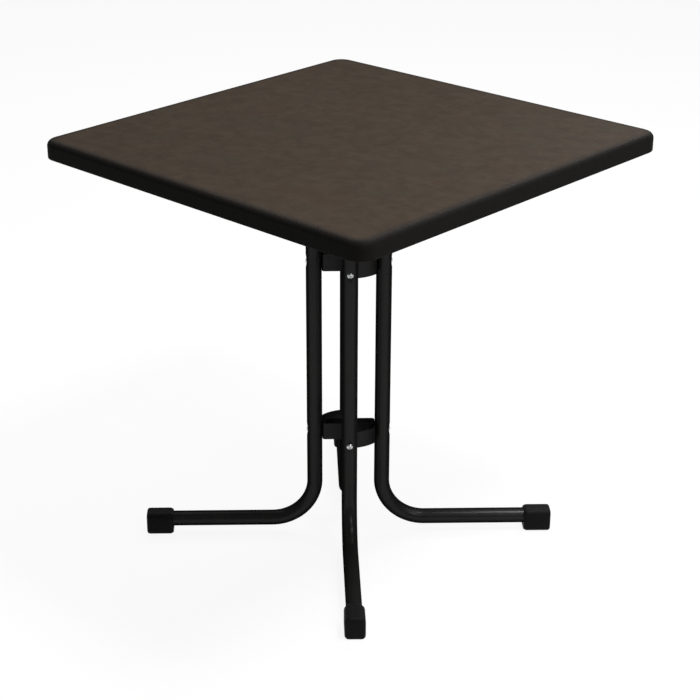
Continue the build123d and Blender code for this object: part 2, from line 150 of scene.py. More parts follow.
@dataclass(frozen=True)
class Clouds:
    """A cloudy pattern with features of a real size.

    Attributes:
        size_mm: Size of the largest features.
        detail: Octaves of finer features.
        strength: How strong the finer features are.
        pull: How far the pattern is pulled about.
        part: The part of its values that is spread out smoothly, or none to leave them as they are.
        ends: What that part runs from and to.
    """

    size_mm: float
    detail: float = 3.0
    strength: float = 0.5
    pull: float = 0.0
    part: Span | None = None
    ends: Span = (0.0, 1.0)


@dataclass(frozen=True)
class Relief:
    """A surface relief: its pattern, its depth and the share of it that shows."""

    clouds: Clouds
    depth_mm: float
    strength: float


class Pattern:
    """Shader patterns on the object coordinates, which are the table's own frame in metres."""

    def __init__(self, tree: Tree) -> None:
        """Start from the object coordinates.

        Args:
            tree: The material's node tree.
        """
        self.tree = tree
        self.place = add_node(tree, "ShaderNodeTexCoord").outputs["Object"]

    def clouds(self, kind: Clouds) -> Socket:
        """Draw a cloudy pattern.

        Args:
            kind: Its sizes and the part that shows.

        Returns:
            Its values, spread out where it has a part.
        """
        inputs = {"Vector": self.place, "Scale": 1 / (kind.size_mm * MM), "Detail": kind.detail,
                  "Roughness": kind.strength, "Distortion": kind.pull}
        values = add_node(self.tree, "ShaderNodeTexNoise", inputs).outputs["Fac"]
        if kind.part is None:
            return values
        spread = (values, *kind.part, *kind.ends)
        return add_node(self.tree, "ShaderNodeMapRange", spread, **SMOOTH_STEP).outputs[0]

    def above_floor(self, part_m: Span, ends: Span = (0.0, 1.0)) -> Socket:
        """Grade a finish with the height.

        Args:
            part_m: Heights above the floor between which it changes.
            ends: What it runs from and to.

        Returns:
            The graded value.
        """
        height = add_node(self.tree, "ShaderNodeSeparateXYZ", (self.place,)).outputs["Z"]
        return add_node(self.tree, "ShaderNodeMapRange", (height, *part_m, *ends), **SMOOTH_STEP).outputs[0]

    def inside_outline(self, half_side_mm: float, corner_mm: float, part_m: Span) -> Socket:
        """Grade a finish with the distance inside the outline of a rounded square about the Z axis.

        Args:
            half_side_mm: Half the square's side.
            corner_mm: Radius of its corners.
            part_m: Distances between which the value runs from 0 to 1.

        Returns:
            The graded value.
        """
        tree, beyond = self.tree, self.place
        straight, none = (half_side_mm - corner_mm) * MM, (0, 0, 0)
        flat = (("MULTIPLY", (1, 1, 0)), ("ABSOLUTE", none), ("SUBTRACT", (straight, straight, 0)))
        for operation, value in flat:
            beyond = add_node(tree, "ShaderNodeVectorMath", (beyond, value), operation=operation).outputs[0]
        outwards = add_node(tree, "ShaderNodeVectorMath", (beyond, none), operation="MAXIMUM").outputs[0]
        round_part = add_node(tree, "ShaderNodeVectorMath", (outwards,), operation="LENGTH").outputs[1]
        across = add_node(tree, "ShaderNodeSeparateXYZ", (beyond,)).outputs
        straight_part = across["X"]
        for operation, value in (("MAXIMUM", across["Y"]), ("MINIMUM", 0.0)):
            both = (straight_part, value)
            straight_part = add_node(tree, "ShaderNodeMath", both, operation=operation).outputs[0]
        distance: Any = corner_mm * MM
        for part in (round_part, straight_part):
            distance = add_node(tree, "ShaderNodeMath", (distance, part), operation="SUBTRACT").outputs[0]
        return add_node(tree, "ShaderNodeMapRange", (distance, *part_m, 0.0, 1.0), **SMOOTH_STEP).outputs[0]

    def layered(self, under: Any, *layers: tuple[Any, Any, str]) -> Socket:
        """Lay colours over each other.

        Args:
            under: The lowest colour or socket.
            layers: Each layer's share, its colour or socket, and its way of mixing.

        Returns:
            The colour of all layers together.
        """
        for share, over, blend in layers:
            inputs, kind = {0: share, 6: under, 7: over}, {"data_type": "RGBA", "blend_type": blend}
            under = add_node(self.tree, "ShaderNodeMix", inputs, **kind).outputs[2]
        return under

    def pressed(self, reliefs: Sequence[Relief]) -> Socket:
        """Press reliefs into a surface, from the coarsest to the finest.

        Args:
            reliefs: The reliefs, each on top of the one before.

        Returns:
            The bumped normal.
        """
        normal: dict[str, Socket] = {}
        for relief in reliefs:
            inputs = {"Height": self.clouds(relief.clouds), "Distance": relief.depth_mm * MM,
                      "Strength": relief.strength, **normal}
            normal["Normal"] = add_node(self.tree, "ShaderNodeBump", inputs).outputs["Normal"]
        return normal["Normal"]


@dataclass(frozen=True)
class Finish:
    """One finish of the real table: two colours in clouds, a drifting roughness and a relief.

    Attributes:
        name: The material's name.
        slot: The record's slot. It is not used.
        colour: The main colour.
        second: The colour that shows in the clouds.
        clouds: Where the second colour shows.
        satin: The roughness.
        reliefs: What is pressed into the surface, from the coarsest to the finest.
        values: Other inputs of the shader, which are the same all over.
    """

    name: str
    slot: Slot
    colour: str
    second: str
    clouds: Clouds
    satin: Clouds
    reliefs: tuple[Relief, ...]
    values: tuple[tuple[str, float], ...] = ()

    def share(self, pattern: Pattern) -> Socket:
        """Share of the second colour."""
        return pattern.clouds(self.clouds)

    def paint(self, pattern: Pattern) -> dict[str, Any]:
        """Draw the finish.

        Args:
            pattern: The patterns of the material's node tree.

        Returns:
            The shader's inputs by name.
        """
        over = (self.share(pattern), linear(self.second), "MIX")
        return {
            "Base Color": pattern.layered(linear(self.colour), over),
            "Roughness": pattern.clouds(self.satin),
            "Normal": pattern.pressed(self.reliefs),
            **dict(self.values),
        }

    def material(self) -> bpy.types.Material:
        """The finish as a Blender material, made once."""
        known = bpy.data.materials.get(self.name)
        if known is not None:
            return known
        made = bpy.data.materials.new(self.name)
        made.use_nodes = True
        tree = made.node_tree
        tree.nodes.clear()
        shader = add_node(tree, "ShaderNodeBsdfPrincipled", self.paint(Pattern(tree)))
        add_node(tree, "ShaderNodeOutputMaterial", {"Surface": shader.outputs[0]})
        return made

    def dress(self, piece: Object) -> None:
        """Give a piece this finish alone."""
        piece.data.materials.clear()
        piece.data.materials.append(self.material())


@dataclass(frozen=True)
class PressedLaminate(Finish):
    """Melamine laminate pressed over wood fibre in a hot mould.

    It shows a satin slate-like mottle of browns on top and is darker and duller on the rim.
    """

    name: str = "pressed_melamine_laminate"
    slot: Slot = Slot.LAMINATE
    colour: str = "30271F"
    second: str = "372E25"
    clouds: Clouds = Clouds(26, 7, 0.68, 0.4, part=(0.34, 0.66))
    green: str = "312E24"
    green_patches: Clouds = Clouds(120, 5, 0.6, 0.3, part=(0.5, 0.7), ends=(0.0, 0.55))
    red: str = "372A22"
    red_patches: Clouds = Clouds(75, 6, 0.65, 0.9, part=(0.56, 0.7), ends=(0.0, 0.6))
    dark_speck: str = "1E1915"
    pale_speck: str = "6B6155"
    speckle: Clouds = Clouds(1.6, 2, 0.7, part=MIDDLE_BAND)
    speckle_share: float = 0.28
    edge: str = "121110"
    half_side_mm: float = 350.0
    corner_mm: float = 28.5
    border_m: Span = (0.001, 0.021)
    rim_m: Span = (0.702, 0.7105)
    satin: Clouds = Clouds(22, 5, 0.6, part=MIDDLE_BAND, ends=(0.4, 0.52))
    rim_rough: float = 0.66
    reliefs: tuple[Relief, ...] = (
        Relief(Clouds(9, 6, 0.62, 0.5), 0.12, 0.35), Relief(Clouds(0.9, 2), 0.03, 0.5)
    )
    values: tuple[tuple[str, float], ...] = (("Specular IOR Level", 0.04),)

    def paint(self, pattern: Pattern) -> dict[str, Any]:
        """Draw greenish and reddish patches and specks over the browns, and the rim round them.

        Args:
            pattern: The patterns of the material's node tree.

        Returns:
            The shader's inputs by name.
        """
        inputs = super().paint(pattern)
        specks = pattern.layered(
            linear(self.dark_speck), (pattern.clouds(self.speckle), linear(self.pale_speck), "MIX")
        )
        mottled = pattern.layered(
            inputs["Base Color"],
            (pattern.clouds(self.green_patches), linear(self.green), "MIX"),
            (pattern.clouds(self.red_patches), linear(self.red), "MIX"),
            (self.speckle_share, specks, "OVERLAY"),
        )
        inside = pattern.inside_outline(self.half_side_mm, self.corner_mm, self.border_m)
        above = pattern.above_floor(self.rim_m)
        on_top = add_node(pattern.tree, "ShaderNodeMath", (inside, above), operation="MULTIPLY").outputs[0]
        inputs["Base Color"] = pattern.layered(linear(self.edge), (on_top, mottled, "MIX"))
        spread = (on_top, 0.0, 1.0, self.rim_rough, 0.0)
        rim = add_node(pattern.tree, "ShaderNodeMapRange", spread, **SMOOTH_STEP).outputs[0]
        both = (inputs["Roughness"], rim)
        inputs["Roughness"] = add_node(pattern.tree, "ShaderNodeMath", both, operation="MAXIMUM").outputs[0]
        return inputs


@dataclass(frozen=True)
class PowderCoat(Finish):
    """Polyester powder coat baked on steel: near black and satin, with a faint orange peel and a grain.

    The real coat's peel and grain are finer. They are drawn at 1.2 mm and 0.3 mm so that they show.
    """

    name: str = "black_powder_coat"
    slot: Slot = Slot.TUBE
    colour: str = "171717"
    second: str = "1A1A19"
    clouds: Clouds = Clouds(60, 4, 0.6, part=(0.35, 0.7))
    satin: Clouds = Clouds(15, 4, part=MIDDLE_BAND, ends=(0.3, 0.36))
    reliefs: tuple[Relief, ...] = (
        Relief(Clouds(1.2, 2, 0.4), 0.04, 0.45), Relief(Clouds(0.3, 2), 0.01, 0.3)
    )
    gloss: Span = (0.15, 0.0)
    gloss_turn: Span = (0.1, 0.38)

    def paint(self, pattern: Pattern) -> dict[str, Any]:
        """Draw the coat, with a gloss that fades where the surface turns away from the eye.

        Args:
            pattern: The patterns of the material's node tree.

        Returns:
            The shader's inputs by name.
        """
        turn = add_node(pattern.tree, "ShaderNodeLayerWeight").outputs["Facing"]
        spread = (turn, *self.gloss_turn, *self.gloss)
        gloss = add_node(pattern.tree, "ShaderNodeMapRange", spread, **SMOOTH_STEP).outputs[0]
        return {**super().paint(pattern), "Specular IOR Level": gloss}


@dataclass(frozen=True)
class MouldedPlastic(Finish):
    """Polypropylene moulded in a spark-eroded tool: matte black, finely textured, scuffed at the floor."""

    name: str = "moulded_polypropylene"
    slot: Slot = Slot.PLASTIC
    colour: str = "101010"
    second: str = "1D1C1B"
    clouds: Clouds = Clouds(5, 5, 0.7, part=(0.45, 0.62))
    scuffed_m: Span = (0.0, 0.012)
    scuffed: Span = (0.7, 0.0)
    satin: Clouds = Clouds(8, 3, part=MIDDLE_BAND, ends=(0.5, 0.62))
    reliefs: tuple[Relief, ...] = (Relief(Clouds(0.6, 2), 0.03, 0.5),)
    values: tuple[tuple[str, float], ...] = (("Specular IOR Level", 0.06),)

    def share(self, pattern: Pattern) -> Socket:
        """Share of the greyer colour, in patches in the lowest millimetres alone."""
        patches = (pattern.above_floor(self.scuffed_m, self.scuffed), pattern.clouds(self.clouds))
        return add_node(pattern.tree, "ShaderNodeMath", patches, operation="MULTIPLY").outputs[0]


@dataclass(frozen=True)
class PlatedSteel(Finish):
    """Zinc plate over steel: bright metal whose thin plating shows a soft cloud and turning marks.

    The real marks are too fine to see. They are drawn at 0.4 mm.
    """

    name: str = "bright_zinc_plate"
    slot: Slot = Slot.ZINC
    colour: str = "D4D6D8"
    second: str = "A9ABAA"
    clouds: Clouds = Clouds(6, 5, 0.65, part=(0.35, 0.68))
    satin: Clouds = Clouds(3, 4, part=MIDDLE_BAND, ends=(0.22, 0.36))
    reliefs: tuple[Relief, ...] = (Relief(Clouds(0.4, 2, 0.6), 0.006, 0.4),)
    values: tuple[tuple[str, float], ...] = (("Metallic", 1.0),)


@dataclass(frozen=True)
class CastNylon(Finish):
    """Natural nylon turned to size: milky and slightly waxy, with a soft cloud and faint tool lines."""

    name: str = "natural_nylon"
    slot: Slot = Slot.NYLON
    colour: str = "DAD6C8"
    second: str = "C6C1B0"
    clouds: Clouds = Clouds(12)
    satin: Clouds = Clouds(4, part=MIDDLE_BAND, ends=(0.36, 0.46))
    reliefs: tuple[Relief, ...] = (Relief(Clouds(0.5, 2), 0.01, 0.4),)
    values: tuple[tuple[str, float], ...] = (("Subsurface Weight", 0.1), ("Subsurface Scale", 1.5 * MM))


@dataclass(frozen=True)
class BufferRubber(Finish):
    """Moulded rubber: very matte, with the dusty bloom that such rubber gets, and a grain."""

    name: str = "moulded_rubber"
    slot: Slot = Slot.RUBBER
    colour: str = "1B1B1C"
    second: str = "303031"
    clouds: Clouds = Clouds(7, 5, 0.7, part=(0.48, 0.7))
    satin: Clouds = Clouds(5, part=MIDDLE_BAND, ends=(0.72, 0.86))
    reliefs: tuple[Relief, ...] = (Relief(Clouds(0.8, 3, 0.6), 0.04, 0.5),)


LAMINATE = PressedLaminate()
TUBE_COAT = PowderCoat()
BAR_COAT = PowderCoat(
    name="black_powder_coat_on_bar", slot=Slot.STEEL,
    satin=Clouds(15, 4, part=MIDDLE_BAND, ends=(0.34, 0.44)),
)
PLASTIC = MouldedPlastic()
ZINC = PlatedSteel()
SPRING_WIRE = PlatedSteel(
    name="drawn_spring_wire", slot=Slot.SPRING, colour="B4B4B2", second="7E7E7C",
    satin=Clouds(3, 4, part=MIDDLE_BAND, ends=(0.26, 0.4)),
)
NYLON = CastNylon()
RUBBER = BufferRubber()


def deselect_all() -> None:
    """Deselect every object, before a new primitive or a new choice."""
    bpy.ops.object.select_all(action="DESELECT")


def take(piece: Object) -> None:
    """Select one piece alone and make it the active one.

    Args:
        piece: The piece.
    """
    deselect_all()
    piece.select_set(True)
    bpy.context.view_layer.objects.active = piece


def settle(piece: Object) -> Object:
    """Apply a piece's place, turn and size to its mesh, so that its object sits at the origin.

    Args:
        piece: The piece.

    Returns:
        The same piece.
    """
    take(piece)
    bpy.ops.object.transform_apply(location=True, rotation=True, scale=True)
    return piece


def made(name: str) -> Object:
    """Name the primitive that was just added, with its place in its mesh.

    Args:
        name: The piece's name.

    Returns:
        The new piece.
    """
    piece = bpy.context.active_object
    piece.name = name
    piece.data.name = name
    return settle(piece)


def choose(piece: Object, pick: Pick, test: Test) -> None:
    """Select what passes a test, in edit mode.

    Args:
        piece: The piece in edit mode.
        pick: Edges or faces.
        test: Says yes or no from an element's middle and its direction: a face's normal, or the way that
            an edge runs.
    """
    shape = bmesh.from_edit_mesh(piece.data)
    if pick is Pick.EDGES:
        ends = [(edge, *(vertex.co for vertex in edge.verts)) for edge in shape.edges]
        found = [(edge, (first + last) / 2, (last - first).normalized()) for edge, first, last in ends]
    else:
        found = [(face, face.calc_center_median(), face.normal) for face in shape.faces]
    for element, middle, direction in found:
        if test(middle, direction):
            element.select_set(True)
    shape.select_flush_mode()
    bmesh.update_edit_mesh(piece.data)


@contextmanager
def editing(piece: Object, pick: Pick = Pick.FACES, test: Test | None = None) -> Iterator[None]:
    """Edit mode on one piece, with what passes a test selected, or else all of it.

    Args:
        piece: The piece to shape.
        pick: What is selected and moved.
        test: Says yes or no, as choose has it.
    """
    take(piece)
    bpy.ops.object.mode_set(mode="EDIT")
    bpy.ops.mesh.select_mode(type=pick.value)
    bpy.ops.mesh.select_all(action="DESELECT" if test else "SELECT")
    if test:
        choose(piece, pick, test)
    try:
        yield
    finally:
        bpy.ops.object.mode_set(mode="OBJECT")


def extrude(*move: float) -> None:
    """Extrude what is selected by a move along X, Y and Z."""
    bpy.ops.mesh.extrude_region_move(TRANSFORM_OT_translate={"value": move})


def resize(x: float, y: float, z: float = 1.0, height: float = 0.0) -> None:
    """Resize what is selected about a point of the Z axis."""
    bpy.ops.transform.resize(value=(x, y, z), center_override=(0, 0, height))


def heal(gap: float) -> None:
    """Weld all vertices that lie closer than a gap, in edit mode, and turn the faces outwards.

    Args:
        gap: The largest gap that is closed.
    """
    bpy.ops.mesh.select_all(action="SELECT")
    bpy.ops.mesh.remove_doubles(threshold=gap)
    bpy.ops.mesh.normals_make_consistent(inside=False)


@dataclass(frozen=True)
class Round:
    """A rounded edge: how far the round reaches, and the facets across it."""

    radius: float
    facets: int

    def cut(self, piece: Object, test: Test) -> None:
        """Round the edges of a piece that pass a test of their middle and the way they run."""
        with editing(piece, Pick.EDGES, test):
            bpy.ops.mesh.bevel(offset=self.radius, segments=self.facets, profile=0.5)


def modify(piece: Object, kind: str, **settings: Any) -> Object:
    """Add a modifier to a piece and apply it.

    Args:
        piece: The piece to shape.
        kind: The modifier's type, such as "BEVEL".
        settings: The modifier's settings.

    Returns:
        The same piece.
    """
    take(piece)
    bpy.ops.object.modifier_add(type=kind)
    modifier = piece.modifiers[-1]
    for name, value in settings.items():
        setattr(modifier, name, value)
    bpy.ops.object.modifier_apply(modifier=modifier.name)
    return piece


def combine(piece: Object, cutter: Object, operation: str = "DIFFERENCE") -> None:
    """Cut a piece with another or fuse the two. The other is then removed.

    Args:
        piece: The piece to shape.
        cutter: The tool's shape.
        operation: "DIFFERENCE", "INTERSECT" or "UNION".
    """
    modify(piece, "BOOLEAN", operation=operation, object=cutter, solver="EXACT")
    bpy.data.objects.remove(cutter)


def smooth(piece: Object, angle_deg: float) -> Object:
    """Shade a piece smooth, with creases where its faces turn by more than an angle.

    Args:
        piece: The piece.
        angle_deg: The least angle of a crease.

    Returns:
        The same piece.
    """
    take(piece)
    bpy.ops.object.shade_smooth_by_angle(angle=radians(angle_deg))
    return piece


def block(name: str, low: Sequence[float], high: Sequence[float]) -> Object:
    """A block between two corners, to be shaped further.

    Args:
        name: The piece's name.
        low: Its lowest corner.
        high: Its highest corner.

    Returns:
        The block.
    """
    deselect_all()
    middle = [(a + b) / 2 for a, b in zip(low, high)]
    bpy.ops.mesh.primitive_cube_add(size=1, location=middle, scale=[b - a for a, b in zip(low, high)])
    return made(name)


def prism(name: str, flats: float, bottom: float, top: float) -> Object:
    """An upright hexagon bar.

    Args:
        name: The piece's name.
        flats: Size across its flats.
        bottom: Height of its lower end.
        top: Height of its upper end.

    Returns:
        The bar.
    """
    deselect_all()
    bpy.ops.mesh.primitive_cylinder_add(
        vertices=6, radius=flats / 2 / cos(pi / 6), depth=top - bottom, location=(0, 0, (top + bottom) / 2)
    )
    return made(name)


def outline(
    name: str, sides: int, radius: float, place: Sequence[float],
    turn_deg: Span = (0.0, 0.0), filled: bool = False,
) -> Object:
    """A regular outline, to be drawn out further.

    Args:
        name: The piece's name.
        sides: Number of its sides.
        radius: Radius of its corners.
        place: Its middle.
        turn_deg: Its turn about X and Y.
        filled: Whether one flat face fills it.

    Returns:
        The outline.
    """
    deselect_all()
    bpy.ops.mesh.primitive_circle_add(
        vertices=sides, radius=radius, fill_type="NGON" if filled else "NOTHING", location=place,
        rotation=(*map(radians, turn_deg), 0),
    )
    return made(name)


def grow(piece: Object, profile: Profile, ring: bool = False) -> Object:
    """Draw a flat outline up the Z axis through a profile.

    Args:
        piece: The outline, with the profile's first size and height.
        profile: Size and height of each step, in order.
        ring: Whether the profile closes on itself, as a washer's does, in place of ending in flat faces.

    Returns:
        The same piece.
    """
    steps = [*profile, profile[0]] if ring else profile
    with editing(piece, Pick.EDGES if ring else Pick.FACES):
        for (size, height), (next_size, next_height) in zip(steps, steps[1:]):
            extrude(0, 0, next_height - height)
            resize(next_size / size, next_size / size)
        heal(WELD_TURNED)
    return piece


def turned(name: str, profile: Profile, sides: int = 48, ring: bool = False) -> Object:
    """A piece turned about the Z axis.

    Args:
        name: The piece's name.
        profile: Radius and height of each ring, in order.
        sides: Sides of each ring.
        ring: Whether the profile closes on itself.

    Returns:
        The turned piece.
    """
    radius, height = profile[0]
    return grow(outline(name, sides, radius, (0, 0, height), filled=not ring), profile, ring)


def pointing(place: Vector, direction: Vector, turn_deg: float = 0.0) -> Matrix:
    """The placement that carries +Z to a direction, turned about it, at a place."""
    turn = direction.to_track_quat("Z", "Y").to_matrix().to_4x4()
    return Matrix.Translation(place) @ turn @ Matrix.Rotation(radians(turn_deg), 4, "Z")


def joined(name: str, pieces: Sequence[Object]) -> Object:
    """Join pieces into one named object.

    Args:
        name: Name of the finished object.
        pieces: Two or more pieces.

    Returns:
        The finished object.
    """
    take(pieces[0])
    for piece in pieces:
        piece.select_set(True)
    bpy.ops.object.join()
    pieces[0].name = name
    pieces[0].data.name = name
    return pieces[0]


def copies(pattern: Object, name: str, places: Sequence[Matrix]) -> Object:
    """Copies of one piece at several places, as one object. The pattern itself is used up.

    Args:
        pattern: The piece, modelled at the origin along +Z.
        name: Name of the finished object.
        places: One placement for each copy.

    Returns:
        The finished object.
    """
    placed = []
    for place in places:
        take(pattern)
        bpy.ops.object.duplicate(linked=False)
        copy = bpy.context.active_object
        copy.matrix_world = place
        placed.append(settle(copy))
    bpy.data.objects.remove(pattern)
    return joined(name, placed)


@dataclass(frozen=True)
class HexNut:
    """A hexagon nut with its corners turned off and its bore eased, on a flange where it has one.

    Attributes:
        flats: Size across the flats.
        bore: Radius of the bore.
        flange_radius: Radius of the flange.
        flange_height: Its height, or 0 for a plain nut.
        face_share: Radius of the turned face, as a share of half the flats.
        relief_share: Depth of the bore's eased ends, as a share of half the flats.
        brim: How far in and how high the flange's rim runs, in shares of its height.
        brim_top: Height at which the flange meets the face, as a share of its height.
    """

    flats: float
    bore: float
    flange_radius: float = 0.0
    flange_height: float = 0.0
    face_share: float = 0.96
    relief_share: float = 0.08
    brim: tuple[Span, ...] = ((0.25, 0.0), (0.0, 0.25), (0.0, 0.6), (0.25, 0.85))
    brim_top: float = 1.2

    def build(self, name: str, height: float) -> Object:
        """Model the nut on the Z axis, standing on the origin.

        Args:
            name: The nut's name.
            height: Its height.

        Returns:
            The nut.
        """
        nut = prism(name, self.flats, 0, height)
        corner = self.flats / 2 / cos(pi / 6)
        face = self.flats / 2 * self.face_share
        slope = (corner - face) * tan(pi / 6)
        blank = [(face, 0), (corner, slope), (corner, height - slope), (face, height)]
        combine(nut, turned("blank", blank), "INTERSECT")
        if self.flange_height:
            thick = self.flange_height
            brim = [(self.flange_radius - thick * inwards, thick * up) for inwards, up in self.brim]
            combine(nut, turned("brim", [*brim, (face, thick * self.brim_top)]), "UNION")
        relief = self.relief_share * self.flats / 2
        wide = self.bore + 2 * relief
        hole = [(wide, -relief), (self.bore, relief), (self.bore, height - relief), (wide, height + relief)]
        combine(nut, turned("hole", hole))
        return smooth(nut, 25)


@dataclass(frozen=True)
class Thread:
    """The helical ridge of a rolled thread round the Z axis.

    Attributes:
        core: Radius of the thread's root.
        crest: Its outer radius.
        pitch: Rise of each turn.
        sunk: How far the ridge reaches into the core, as a share of its depth.
        width: Half the ridge's size along the axis, as a share of the pitch.
        steps: Facets of each turn.
    """

    core: float
    crest: float
    pitch: float
    sunk: float = 0.1
    width: float = 0.5
    steps: int = 24

    def build(self, start: float, end: float) -> Object:
        """Wind the ridge.

        Args:
            start: Height of the first turn.
            end: Height of the last turn.

        Returns:
            The ridge, whose foot is sunk into the core.
        """
        ridge = outline("ridge", 3, 1, (0, 0, 0), (90, 90))
        foot = self.core - self.sunk * (self.crest - self.core)
        depth = (self.crest - foot) / 1.5  # a triangle stands 1.5 times as high as its corners' radius
        ridge.scale = (depth, 1, self.pitch * self.width)
        ridge.location = (foot + depth / 2, 0, start)
        turns = round((end - start) / self.pitch)
        settle(ridge)
        return modify(ridge, "SCREW", axis="Z", screw_offset=self.pitch, iterations=turns, steps=self.steps)


def box_in(node: str, turn: Matrix, keep: Callable[[Vector], bool] = lambda point: True) -> Box:
    """The box of a CAD node, or of some of its points, in a turned frame.

    Args:
        node: The CAD node.
        turn: Placement that carries the table's frame to the turned one.
        keep: Says which points, in the turned frame, are counted.

    Returns:
        The box's lowest and highest corner.
    """
    points = [point for point in (turn @ v.co for v in bpy.data.objects[node].data.vertices) if keep(point)]
    low, high = ([end(point[axis] for point in points) for axis in range(3)] for end in (min, max))
    return Vector(low), Vector(high)


def middle_of(node: str) -> Vector:
    """The middle of a CAD node's box at rest."""
    low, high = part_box(node)
    return (low + high) / 2


def eased(node: str, name: str, width: float, rings: int = 2, crease_deg: float = 32.0) -> Object:
    """A copy of a CAD piece with its sharp edges eased, as a press and a coat of powder leave them.

    Args:
        node: The CAD node.
        name: Name of the new piece.
        width: Width of the eased edge.
        rings: Facets across the eased edge.
        crease_deg: Edges sharper than this are eased.

    Returns:
        The new piece.
    """
    piece = bpy.data.objects.new(name, bpy.data.objects[node].data.copy())
    bpy.context.scene.collection.objects.link(piece)
    with editing(piece):
        bpy.ops.mesh.remove_doubles(threshold=WELD_CAD)
        bpy.ops.mesh.customdata_custom_splitnormals_clear()
        bpy.ops.mesh.dissolve_limited(angle_limit=radians(FLAT_DEG))
    modify(piece, "BEVEL", width=width, segments=rings, limit_method="ANGLE",
           angle_limit=radians(crease_deg), use_clamp_overlap=True)
    return modify(smooth(piece, crease_deg), "WEIGHTED_NORMAL", keep_sharp=True)


def join_up(piece: Object, finish: Finish, body: Body, node: str) -> None:
    """Dress a finished piece, let it ride on its body, and put it in a CAD node's place.

    Args:
        piece: The finished piece.
        finish: Its finish.
        body: The body that it moves with.
        node: The CAD node that it stands for.
    """
    finish.dress(piece)
    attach(piece, body.value)
    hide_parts(node)
    LOG.info("%s rides on %s with %d faces", piece.name, body.value, len(piece.data.polygons))


@dataclass
class Board:
    """The moulded table top: a panel with a deeper rim, rounded above and pressed with a pocket below."""

    corner: Round = Round(28.5 * MM, 14)
    top: Round = Round(9.5 * MM, 10)
    bottom: Round = Round(2.0 * MM, 4)
    rim_width: float = 24.0 * MM
    panel: float = 18.0 * MM
    pocket_corner: Round = Round(12.0 * MM, 8)
    pocket_taper: float = 0.987
    slack: float = 0.5 * MM

    def build(self) -> None:
        """Model the board in the CAD node's own box."""
        low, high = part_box("table_top")
        rim, slack = self.rim_width, self.slack
        board = block("board", low, high)
        self.corner.cut(board, self._upright)
        pocket = block("pocket", (low.x + rim, low.y + rim, low.z - slack),
                       (high.x - rim, high.y - rim, high.z - self.panel))
        self.pocket_corner.cut(pocket, self._upright)
        with editing(pocket, Pick.FACES, lambda middle, normal: normal.z > ALONG):
            resize(self.pocket_taper, self.pocket_taper)
        combine(board, pocket)
        self.top.cut(board, lambda middle, way: middle.z > high.z - slack)
        self.bottom.cut(board, lambda middle, way: middle.z < low.z + slack)
        modify(smooth(board, 30), "WEIGHTED_NORMAL", keep_sharp=True)
        join_up(board, LAMINATE, Body.TOP, "table_top")

    @staticmethod
    def _upright(middle: Vector, way: Vector) -> bool:
        """Whether an edge runs up."""
        return abs(way.z) > ALONG


